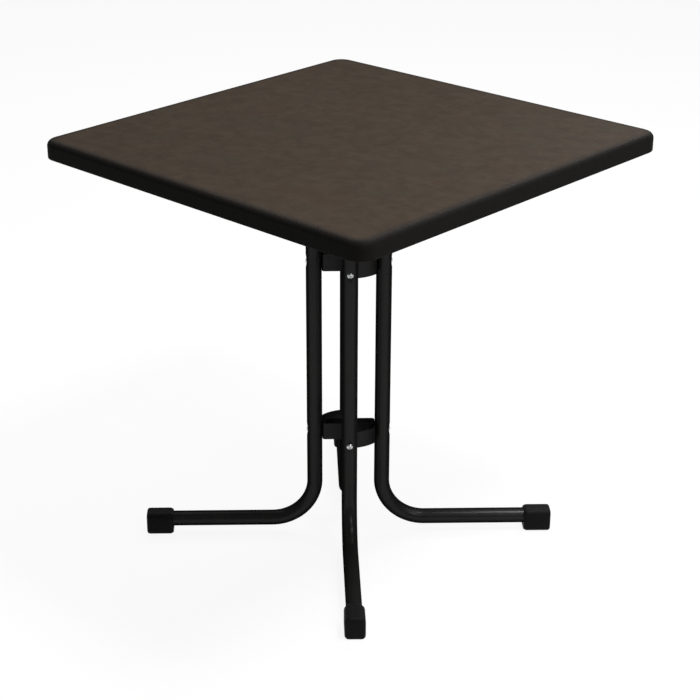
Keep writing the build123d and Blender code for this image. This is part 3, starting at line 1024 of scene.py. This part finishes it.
@dataclass
class Leg:
    """One bent tube leg with its foot cap and its plug, modelled along +X and turned into place."""

    name: str
    angle_deg: float
    sides: int = 64
    circle_radius: float = 58.0 * MM
    tube_radius: float = 13.25 * MM
    wall: float = 1.5 * MM
    bend_radius: float = 75.0 * MM
    bend_rings: int = 30
    axis_height: float = 24.5 * MM
    end_wall: float = 6.0 * MM
    ring_gap: float = 1.4 * MM
    dimple_reach: float = 16.0 * MM
    dimple_depth: float = 1.9 * MM
    dimple_sphere: float = 38.0 * MM
    cap_shoulder: float = 4.5 * MM
    cap_shoulder_inset: float = 1.91 * MM
    cap_shoulder_round: Round = Round(1.0 * MM, 3)
    cap_top_round: Round = Round(10.0 * MM, 10)
    cap_low_round: Round = Round(7.0 * MM, 6)
    cap_end_round: Round = Round(5.0 * MM, 5)
    cap_bore_gap: float = 0.05 * MM
    plug_flange: float = 3.0 * MM
    plug_round: float = 1.5 * MM
    plug_gap: float = 0.1 * MM
    plug_tip_share: float = 0.07
    plug_dish: tuple[Span, ...] = ((0.72, 0.0), (0.6, 0.3 * MM), (0.05, 0.3 * MM))

    def build(self) -> None:
        """Build the tube, its cap and its plug."""
        self._tube()
        self._cap()
        self._plug()

    @staticmethod
    def _levels() -> list[float]:
        """Heights of the two rows of strap screws, where the dimples are."""
        return [middle_of(f"{level}_strap_screws").z for level in LEVELS]

    def _cap_box(self) -> Box:
        """The CAD cap's box in the leg's own frame."""
        return box_in(f"foot_{self.name}", Matrix.Rotation(radians(-self.angle_deg), 4, "Z"))

    def _tube(self) -> None:
        """The tube: straight down, round the bend and out to the cap, with its dimples pressed in."""
        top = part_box(f"leg_{self.name}")[1].z
        count = round(self.dimple_reach / self.ring_gap)
        steps = [step * self.ring_gap for step in range(-count, count + 1)]
        dimples = {level + step for level in self._levels() for step in steps}
        heights = sorted({top, self.axis_height + self.bend_radius} | dimples, reverse=True)
        bend_x = self.circle_radius + self.bend_radius
        tube = outline(f"tube_{self.name}", self.sides, self.tube_radius, (self.circle_radius, 0, top))
        with editing(tube, Pick.EDGES):
            for above, below in zip(heights, heights[1:]):
                extrude(0, 0, below - above)
            bpy.ops.mesh.spin(steps=self.bend_rings, angle=radians(90), axis=(0, 1, 0),
                              center=(bend_x, 0, self.axis_height + self.bend_radius))
            extrude(self._cap_box()[1].x - self.end_wall - bend_x, 0, 0)
            heal(WELD_TUBE)
            self._press(tube)
        modify(tube, "SOLIDIFY", thickness=self.wall, offset=-1.0, use_even_offset=True)
        tube.rotation_euler.z = radians(self.angle_deg)
        join_up(smooth(settle(tube), 40), TUBE_COAT, Body.BASE, f"leg_{self.name}")

    def _press(self, tube: Object) -> None:
        """Press the dimples: what stands inside a ball beside the tube is pushed in to the ball's face.

        Args:
            tube: The tube in edit mode.
        """
        shape = bmesh.from_edit_mesh(tube.data)
        ball_x = self.circle_radius + self.tube_radius - self.dimple_depth + self.dimple_sphere
        for level in self._levels():
            for vertex in shape.verts:
                across = hypot(vertex.co.y, vertex.co.z - level)
                if across < self.dimple_sphere and vertex.co.x > self.circle_radius:
                    vertex.co.x = min(vertex.co.x, ball_x - sqrt(self.dimple_sphere**2 - across**2))
        bmesh.update_edit_mesh(tube.data)

    def _cap(self) -> None:
        """The foot cap: a rounded block with a sloping shoulder at the tube and rounded outer edges."""
        low, high = self._cap_box()
        low.x += self.cap_shoulder
        middle, size = (low + high) / 2, high - low
        cap = block(f"cap_{self.name}", low, high)
        lowest = low.z + self.cap_end_round.radius
        self.cap_top_round.cut(cap, lambda place, way: abs(way.x) > ALONG and place.z > middle.z)
        self.cap_low_round.cut(cap, lambda place, way: abs(way.x) > ALONG and place.z < lowest)
        self.cap_end_round.cut(cap, lambda place, way: abs(way.x) < ALONG and place.x > middle.x)
        with editing(cap, Pick.FACES, lambda place, normal: normal.x < -ALONG):
            extrude(-self.cap_shoulder, 0, 0)
            across, up = (1 - 2 * self.cap_shoulder_inset / side for side in (size.y, size.z))
            resize(1, across, up, middle.z)
        near = self.cap_bore_gap
        self.cap_shoulder_round.cut(
            cap, lambda place, way: abs(place.x - low.x) < near and abs(way.x) < ALONG
        )
        hole = self.tube_radius + self.cap_bore_gap
        bore = turned("bore", [(hole, 0), (hole, high.x - self.end_wall)], self.sides)
        bore.matrix_world = pointing(Vector((0, 0, self.axis_height)), Vector((1, 0, 0)))
        combine(cap, settle(bore))
        cap.rotation_euler.z = radians(self.angle_deg)
        join_up(smooth(settle(cap), 35), PLASTIC, Body.BASE, f"foot_{self.name}")

    def _plug(self) -> None:
        """The plug: a stem in the tube under a flange with a rounded rim and a slight dish."""
        low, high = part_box(f"plug_{self.name}")
        edge = high.z - self.plug_flange
        stem = self.tube_radius - self.wall - self.plug_gap
        tip = stem * self.plug_tip_share
        rim, bend = self.tube_radius, self.plug_round
        arc = [(rim - bend * (1 - cos(turn)), high.z - bend * (1 - sin(turn)))
               for turn in map(radians, range(0, 91, 15))]
        dish = [(rim * share, high.z - depth) for share, depth in self.plug_dish]
        profile = [(stem - tip, low.z), (stem, low.z + tip), (stem, edge), (rim, edge), *arc, *dish]
        plug = turned(f"bung_{self.name}", profile, self.sides)
        plug.location = (*((a + b) / 2 for a, b in zip(low.xy, high.xy)), 0)
        join_up(smooth(settle(plug), 35), PLASTIC, Body.BASE, f"plug_{self.name}")


@dataclass
class Straps:
    """The flat steel straps that tie the tubes, with their button head screws and nuts."""

    edge: float = 0.5 * MM
    reach: float = 9.0 * MM
    thread: Thread = Thread(core=2.45 * MM, crest=3.0 * MM, pitch=1.0 * MM)
    nut: HexNut = HexNut(flats=10.0 * MM, bore=3.0 * MM)
    tip_share: float = 0.2
    first_turn: float = 0.6
    plain_turns: int = 3
    head: float = 5.25 * MM
    land: float = 0.8 * MM
    head_height: float = 3.3 * MM
    head_edge: float = 0.2 * MM
    dome: tuple[float, ...] = (1.0, 0.95, 0.88, 0.78, 0.66, 0.52, 0.45, 0.05)
    socket_flats: float = 4.0 * MM
    socket_depth: float = 2.1 * MM

    def build(self) -> None:
        """Ease the four straps and model the screws and nuts of both levels."""
        for level in LEVELS:
            for side in SIDES:
                node = f"{level}_strap_{side}"
                join_up(eased(node, f"bar_{level}_{side}", self.edge), BAR_COAT, Body.BASE, node)
            for kind, name, shape in (("screws", "buttons", self._screw), ("nuts", "nuts", self.nut.build)):
                node = f"{level}_strap_{kind}"
                row = joined(f"{name}_{level}", [self._at_leg(node, leg, shape) for leg in LEG_ANGLES])
                join_up(row, ZINC, Body.BASE, node)

    def _at_leg(self, node: str, leg: str, shape: Callable[[str, float], Object]) -> Object:
        """Shape one fastener to its CAD length and stand it in place, facing outwards.

        Args:
            node: The CAD node of its row.
            leg: Name of its leg.
            shape: Models it along +Z from a name and a length.

        Returns:
            The fastener.
        """
        turn = Matrix.Rotation(radians(-LEG_ANGLES[leg]), 4, "Z")
        low, high = box_in(node, turn, lambda point: point.x > 0 and abs(point.y) < self.reach)
        piece = shape(f"{node}_{leg}", high.x - low.x)
        outwards = turn.inverted() @ Vector((1, 0, 0))
        piece.matrix_world = pointing(outwards * low.x + Vector((0, 0, (low.z + high.z) / 2)), outwards)
        return settle(piece)

    def _screw(self, name: str, length: float) -> Object:
        """A button head screw with a hexagon socket, from its tip up to its crown.

        Args:
            name: The screw's name.
            length: Its whole length.

        Returns:
            The screw.
        """
        core, shank, pitch = self.thread.core, self.thread.crest, self.thread.pitch
        seat = length - self.head_height
        neck = seat - self.plain_turns * pitch
        rise = self.head_height - self.land
        ball = (self.head**2 + rise**2) / (2 * rise)
        dome = [(self.head * share, length - ball + sqrt(ball**2 - (self.head * share) ** 2))
                for share in self.dome]
        tip = core * self.tip_share
        profile = [(core - tip, 0), (core, tip), (core, neck), (shank, neck + pitch / 2), (shank, seat),
                   (self.head - self.head_edge, seat), (self.head, seat + self.head_edge), *dome]
        screw = turned(name, profile)
        combine(screw, prism("socket", self.socket_flats, length - self.socket_depth, length + self.land))
        return smooth(joined(name, [screw, self.thread.build(pitch * self.first_turn, neck)]), 28)


@dataclass
class CrossRods:
    """The pivot and catch rods with their flange nuts, the pivot washers and the catch bushes."""

    thread: Thread = Thread(core=3.4 * MM, crest=4.0 * MM, pitch=1.25 * MM)
    nut: HexNut = HexNut(flats=13.0 * MM, bore=4.05 * MM, flange_radius=8.5 * MM, flange_height=1.5 * MM)
    threaded: float = 11.0 * MM
    tip_share: float = 0.15
    ease: float = 0.25 * MM

    def build(self) -> None:
        """Model both rods with what sits on them."""
        for kind in ("pivot", "catch"):
            self._rod(kind)
            self._pair(f"{kind}_nuts", f"lock_nuts_{kind}", ZINC, self._lock_nut)
        self._pair("pivot_washers", "nylon_washers", NYLON, self._ring)
        self._pair("catch_bushes", "nylon_bushes", NYLON, self._ring)

    def _rod(self, kind: str) -> None:
        """One rod along Y, with rolled threads at both ends.

        Args:
            kind: "pivot" or "catch".
        """
        low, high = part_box(f"{kind}_rod")
        core, pitch = self.thread.core, self.thread.pitch
        half = (high.y - low.y) / 2
        start = half - self.threaded
        tip = core * self.tip_share
        side = [(core - tip, half), (core, half - tip), (core, start + pitch), (self.thread.crest, start)]
        rod = turned(f"rod_{kind}", [*side, *((radius, -height) for radius, height in reversed(side))])
        last = half - pitch / 2
        ridges = [self.thread.build(start, last), self.thread.build(-last, -start)]
        rod = smooth(joined(f"rod_{kind}", [rod, *ridges]), 28)
        rod.matrix_world = pointing((low + high) / 2, Vector((0, 1, 0)))
        join_up(settle(rod), ZINC, Body.BASE, f"{kind}_rod")

    def _pair(
        self, node: str, name: str, finish: Finish, shape: Callable[[str, float, float], Object]
    ) -> None:
        """Stand two mirrored copies of a shape on a rod, at the two ends of the CAD node.

        Args:
            node: The CAD node.
            name: Name of the finished pair.
            finish: Its finish.
            shape: Models one along +Z from a name, a radius and a length.
        """
        low, high = box_in(node, Matrix.Identity(4), lambda point: point.y > 0)
        middle = (low + high) / 2
        places = [pointing(Vector((middle.x, side * low.y, middle.z)), Vector((0, side, 0)))
                  for side in (1, -1)]
        one = shape(name, (high.z - low.z) / 2, high.y - low.y)
        join_up(copies(one, name, places), finish, Body.BASE, node)

    def _lock_nut(self, name: str, radius: float, length: float) -> Object:
        """A flange nut of a length. Its radius is its flange's own."""
        return self.nut.build(name, length)

    def _ring(self, name: str, radius: float, length: float) -> Object:
        """A ring round the rod, with eased edges.

        Args:
            name: The ring's name.
            radius: Its outer radius.
            length: Its length along the rod.

        Returns:
            The ring.
        """
        inner, ease = self.nut.bore, self.ease
        profile = [(inner, 0), (inner, length), (radius - ease, length), (radius, length - ease),
                   (radius, ease), (radius - ease, 0)]
        return smooth(turned(name, profile, ring=True), 50)


@dataclass
class TopFittings:
    """What is screwed under the panel: rails, latch housing with its pin and spring, and buffers.

    The profiles of the screws' and the pin's heads are in shares of their radius and height. The point of a
    screw is a share of the shank's radius wide and some radii long.
    """

    edge: float = 0.4 * MM
    buffer_edge: float = 1.2 * MM
    inner_screw_x: float = 88.0 * MM
    head: float = 4.0 * MM
    head_height: float = 2.4 * MM
    head_profile: tuple[Span, ...] = (
        (0.96, 0.0), (1.0, 0.1), (1.0, 0.55), (0.97, 0.75), (0.88, 0.91), (0.74, 0.99), (0.6, 1.0)
    )
    shank: float = 2.0 * MM
    shank_point: Span = (0.1, 1.5)
    turn_deg_per_m: float = 17.0 / MM
    cross: float = 4.6 * MM
    cross_bar: float = 1.0 * MM
    cross_depth: float = 1.6 * MM
    cross_taper: Span = (0.5, 0.6)
    pin: float = 3.0 * MM
    pin_head: float = 1.5 * MM
    pin_profile: tuple[Span, ...] = ((0.7, 0.0), (0.93, 0.2), (1.0, 0.55), (1.0, 0.9), (0.97, 1.0))
    wire: float = 1.2 * MM
    wire_sides: int = 14
    turn_steps: int = 36
    turns: int = 3
    leg_up: float = 9.0 * MM
    leg_down: float = 5.0 * MM

    def build(self) -> None:
        """Ease the pressed pieces, model the screws, the pin and the spring."""
        pressed = [(f"rail_{side}", f"angle_{side}") for side in SIDES] + [("latch_housing", "bracket")]
        for node, name in pressed:
            join_up(eased(node, name, self.edge), BAR_COAT, Body.TOP, node)
        buffers = eased("tilt_buffers", "rubber_blocks", self.buffer_edge, 4)
        join_up(buffers, RUBBER, Body.TOP, "tilt_buffers")
        self._screws("rail_screws", "pan_screws_rail", (self.inner_screw_x, -self.inner_screw_x))
        self._screws("housing_screws", "pan_screws_housing", ())
        self._pin()
        self._spring()

    def _screws(self, node: str, name: str, inner: Sequence[float]) -> None:
        """Pan head screws with a cross recess, at the corners of the CAD node's box and at inner places.

        Args:
            node: The CAD node.
            name: Name of the finished row.
            inner: X of the inner places.
        """
        low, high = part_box(node)
        length = high.z - low.z
        point, slope = self.shank_point
        head = [(self.head * wide, length - self.head_height * (1 - up)) for wide, up in self.head_profile]
        shank = [(self.shank * point, 0), (self.shank, self.shank * slope), (self.shank, head[0][1])]
        screw = turned(name, [*shank, *head])
        for turn in (0, 90):
            bar = block("bar", (-self.cross / 2, -self.cross_bar / 2, length - self.cross_depth),
                        (self.cross / 2, self.cross_bar / 2, length + self.cross_bar))
            with editing(bar, Pick.FACES, lambda middle, normal: normal.z < -ALONG):
                resize(*self.cross_taper)
            bar.rotation_euler.z = radians(turn)
            combine(screw, settle(bar))
        columns = sorted({round(x, 6) for x in (low.x + self.head, high.x - self.head, *inner)})
        places = [pointing(Vector((x, y, high.z)), Vector((0, 0, -1)), self.turn_deg_per_m * x)
                  for x in columns for y in (low.y + self.head, high.y - self.head)]
        join_up(copies(smooth(screw, 28), name, places), ZINC, Body.TOP, node)

    @staticmethod
    def _from_end(node: str) -> Matrix:
        """The placement that stands a piece on the front end of a CAD node's box, along Y."""
        low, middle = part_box(node)[0], middle_of(node)
        return pointing(Vector((middle.x, low.y, middle.z)), Vector((0, 1, 0)))

    def _pin(self) -> None:
        """The latch pin, with a set-down head at each end."""
        low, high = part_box("latch_pin")
        head, length = (high.z - low.z) / 2, high.y - low.y
        cap = [(head * wide, self.pin_head * up) for wide, up in self.pin_profile]
        cap.append((self.pin, self.pin_head))
        pin = turned("hinge_pin", [*cap, *((radius, length - height) for radius, height in reversed(cap))])
        pin.matrix_world = self._from_end("latch_pin")
        join_up(smooth(settle(pin), 35), ZINC, Body.TOP, "latch_pin")

    def _at_end(self, middle: Vector, way: Vector, level: float) -> bool:
        """Whether an edge lies in the coil's open end at a height.

        Args:
            middle: The edge's middle.
            way: The way it runs.
            level: Height of the wire's middle at that end.

        Returns:
            Yes or no.
        """
        in_plane = middle.x > 0 and abs(middle.y) < self.wire / 100 and abs(way.y) < 0.5
        return in_plane and abs(middle.z - level) < self.wire * 0.51

    def _spring(self) -> None:
        """The torsion spring: a coil with one end up at the housing and the other down beside the lever."""
        low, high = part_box("latch_spring")
        wire = self.wire
        pitch = (high.y - low.y - wire) / self.turns
        place = ((high.x - low.x - wire) / 2, 0, wire / 2)
        coil = outline("coil_spring", self.wire_sides, wire / 2, place, (90, 0))
        modify(coil, "SCREW", axis="Z", screw_offset=pitch, iterations=self.turns, steps=self.turn_steps)
        for level, leg in ((wire / 2, -self.leg_down), (wire / 2 + pitch * self.turns, self.leg_up)):
            with editing(coil, Pick.EDGES, lambda middle, way: self._at_end(middle, way, level)):
                extrude(0, leg, 0)
                bpy.ops.mesh.edge_face_add()
        coil.matrix_world = self._from_end("latch_spring")
        join_up(smooth(settle(coil), 50), SPRING_WIRE, Body.TOP, "latch_spring")


@dataclass
class Latch:
    """The latch lever and the ribbed grip on its handle."""

    edge: float = 0.6 * MM
    handle_deg: float = -42.0
    handle: Span = (9.1 * MM, 6.1 * MM)
    corner: Round = Round(2.4 * MM, 5)
    rib: float = 3.2 * MM
    groove: float = 0.55 * MM
    end_wall: float = 2.0 * MM

    def build(self) -> None:
        """Ease the lever and model the grip."""
        join_up(eased("latch_lever", "hook_lever", self.edge), BAR_COAT, Body.LATCH, "latch_lever")
        self._grip()

    def _grip(self) -> None:
        """A moulded sleeve with grooves round it, closed at its outer end."""
        angle = radians(self.handle_deg)
        stand = pointing(Vector((0, 0, 0)), Vector((cos(angle), 0, sin(angle))))
        low, high = box_in("lever_grip", stand.inverted())
        size = high - low
        deselect_all()
        bpy.ops.mesh.primitive_plane_add(size=1)
        grip = made("ribbed_grip")
        grip.scale = (size.x, size.y, 1)
        settle(grip)
        with editing(grip, Pick.VERTS):
            bpy.ops.mesh.bevel(offset=self.corner.radius, segments=self.corner.facets, affect="VERTICES")
        half, step = max(size.x, size.y) / 2, self.groove
        profile = [(half - step, 0), (half, step)]
        place = self.rib
        while place + self.rib < size.z - step:
            cut = ((0, 0), (1, 1), (1, 2), (0, 3))
            profile += [(half - step * deep, place + step * up) for deep, up in cut]
            place += self.rib
        end = ((0, 2), (0.5, 0.5), (2, 0))
        profile += [(half - step * deep, size.z - step * down) for deep, down in end]
        with editing(grip):
            resize(profile[0][0] / half, profile[0][0] / half)
        grow(grip, profile)
        x, y = sorted(self.handle, reverse=size.x > size.y)
        combine(grip, block("hollow", (-x / 2, -y / 2, -step), (x / 2, y / 2, size.z - self.end_wall)))
        middle = (low + high) / 2
        grip.matrix_world = stand @ Matrix.Translation(Vector((middle.x, middle.y, low.z)))
        join_up(smooth(settle(grip), 40), PLASTIC, Body.LATCH, "lever_grip")


@dataclass(frozen=True)
class Softbox:
    """One rectangular lamp. Its place is in metres to the camera's right, towards the camera and up."""

    name: str
    place: tuple[float, float, float]
    size: Span
    watts: float
    aim_height: float = 0.4


@dataclass
class Studio:
    """Camera at the photograph's place, pale floor and soft lamps."""

    image_px: float = 700.0
    focal_px: float = 1732.1
    axis_x_px: float = 266.2
    axis_y_px: float = 372.9
    sensor_mm: float = 36.0
    azimuth_deg: float = 46.05
    pitch_deg: float = 24.81
    roll_deg: float = -1.06
    distance_m: float = 2.934
    side_m: float = -0.1395
    height_m: float = 0.3029
    sight_m: float = 100.0
    floor_m: float = 60.0
    floor_colour: str = "E8E8E7"
    floor_white: float = 0.9
    world_strength: float = 0.2
    softboxes: tuple[Softbox, ...] = (
        Softbox("overhead", (0.0, -1.9, 4.2), (4.2, 3.6), 118),
        Softbox("right_key", (0.88, 0.6, 2.8), (0.5, 0.5), 72),
        Softbox("right_side", (2.0, 0.8, 2.7), (0.4, 0.4), 11),
        Softbox("front_right", (1.2, 2.2, 1.9), (0.7, 0.5), 17),
        Softbox("back_right", (1.5, -1.9, 2.5), (1.6, 1.0), 26),
    )

    def build(self) -> None:
        """Set up the camera, the floor, the lamps and the world."""
        self._camera()
        self._floor()
        self._world()
        self._lamps()
        bpy.context.scene.view_settings.view_transform = "Standard"

    def _axes(self) -> tuple[Vector, Vector, Vector]:
        """The camera's right, up and backward directions."""
        azimuth, pitch, roll = (radians(v) for v in (self.azimuth_deg, self.pitch_deg, self.roll_deg))
        back = Vector((sin(azimuth) * cos(pitch), -cos(azimuth) * cos(pitch), sin(pitch)))
        level = Vector((cos(azimuth), sin(azimuth), 0))
        upright = back.cross(level)
        right = level * cos(roll) + upright * sin(roll)
        up = upright * cos(roll) - level * sin(roll)
        return right, up, back

    def _camera(self) -> None:
        """The camera whose place, turn, lens and shift were fitted to the photograph's outlines."""
        right, up, back = self._axes()
        lens = bpy.data.cameras.new("photo_camera")
        lens.sensor_width = self.sensor_mm
        lens.lens = self.focal_px * self.sensor_mm / self.image_px
        lens.shift_x = (self.image_px / 2 - self.axis_x_px) / self.image_px
        lens.shift_y = (self.axis_y_px - self.image_px / 2) / self.image_px
        lens.clip_end = self.sight_m
        camera = bpy.data.objects.new("photo_camera", lens)
        place = Vector((0, 0, self.height_m)) + right * self.side_m + back * self.distance_m
        camera.matrix_world = Matrix.Translation(place) @ Matrix((right, up, back)).transposed().to_4x4()
        bpy.context.scene.collection.objects.link(camera)
        bpy.context.scene.camera = camera

    def _floor(self) -> None:
        """A large floor, white to the camera and to what mirrors or passes light, with its shadow kept."""
        deselect_all()
        bpy.ops.mesh.primitive_plane_add(size=self.floor_m)
        floor = made("floor")
        paint = bpy.data.materials.new("pale_floor")
        paint.use_nodes = True
        tree = paint.node_tree
        tree.nodes.clear()
        rays = add_node(tree, "ShaderNodeLightPath").outputs
        share = rays["Is Camera Ray"]
        steps = (("MAXIMUM", rays["Is Glossy Ray"]), ("MAXIMUM", rays["Is Transmission Ray"]),
                 ("MULTIPLY", self.floor_white))
        for operation, value in steps:
            share = add_node(tree, "ShaderNodeMath", (share, value), operation=operation).outputs[0]
        matte = add_node(tree, "ShaderNodeBsdfDiffuse", {"Color": linear(self.floor_colour)})
        white = add_node(tree, "ShaderNodeEmission", {"Color": linear("FFFFFF")})
        both = add_node(tree, "ShaderNodeMixShader", (share, matte.outputs[0], white.outputs[0]))
        add_node(tree, "ShaderNodeOutputMaterial", {"Surface": both.outputs[0]})
        floor.data.materials.append(paint)

    def _world(self) -> None:
        """An even, weak white sky."""
        world = bpy.data.worlds.new("studio")
        world.use_nodes = True
        background = world.node_tree.nodes["Background"]
        background.inputs["Color"].default_value = linear("FFFFFF")
        background.inputs["Strength"].default_value = self.world_strength
        bpy.context.scene.world = world

    def _lamps(self) -> None:
        """Stand the softboxes round the table, each aimed at its own height above the table's middle."""
        right, _, back = self._axes()
        across = Vector((right.x, right.y, 0)).normalized()
        nearer = Vector((back.x, back.y, 0)).normalized()
        for box in self.softboxes:
            light = bpy.data.lights.new(box.name, "AREA")
            light.shape = "RECTANGLE"
            light.size, light.size_y = box.size
            light.energy = box.watts
            lamp = bpy.data.objects.new(box.name, light)
            sideways, towards, height = box.place
            place = across * sideways + nearer * towards + Vector((0, 0, height))
            lamp.matrix_world = pointing(place, place - Vector((0, 0, box.aim_height)))
            bpy.context.scene.collection.objects.link(lamp)


def main() -> None:
    """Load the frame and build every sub-assembly."""
    logging.basicConfig(level=logging.INFO, format="%(name)s: %(message)s")
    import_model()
    Studio().build()
    Board().build()
    for name, angle_deg in LEG_ANGLES.items():
        Leg(name, angle_deg).build()
    Straps().build()
    CrossRods().build()
    TopFittings().build()
    Latch().build()


if __name__ == "__main__":
    main()
